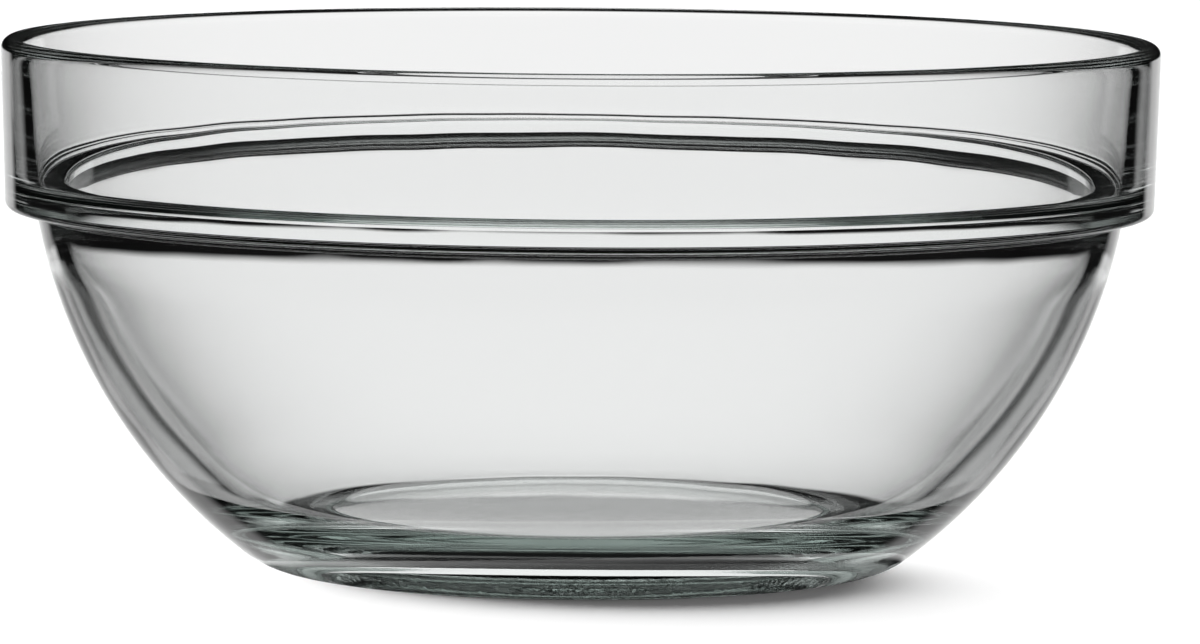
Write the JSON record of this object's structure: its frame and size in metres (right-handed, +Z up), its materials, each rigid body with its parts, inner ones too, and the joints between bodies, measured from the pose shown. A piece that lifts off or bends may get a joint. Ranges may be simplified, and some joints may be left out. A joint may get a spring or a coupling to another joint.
{
  "type": "glass salad bowl",
  "caption": "Round clear glass salad bowl with a tall rounded rim band, a stacking ledge inside it, a curved wall and a thick flat base ring.",
  "frame": {"origin": "centre of the base, in the plane that the bowl stands on", "axes": "+Z up along the bowl's axis; the bowl is round, and the picture looks along +Y with +X to the right"},
  "size_m": [0.23, 0.23, 0.1056],
  "materials": {
    "clear_glass": "gloss"
  },
  "bodies": {
    "root": {"bowl": "clear_glass"}
  },
  "joints": []
}
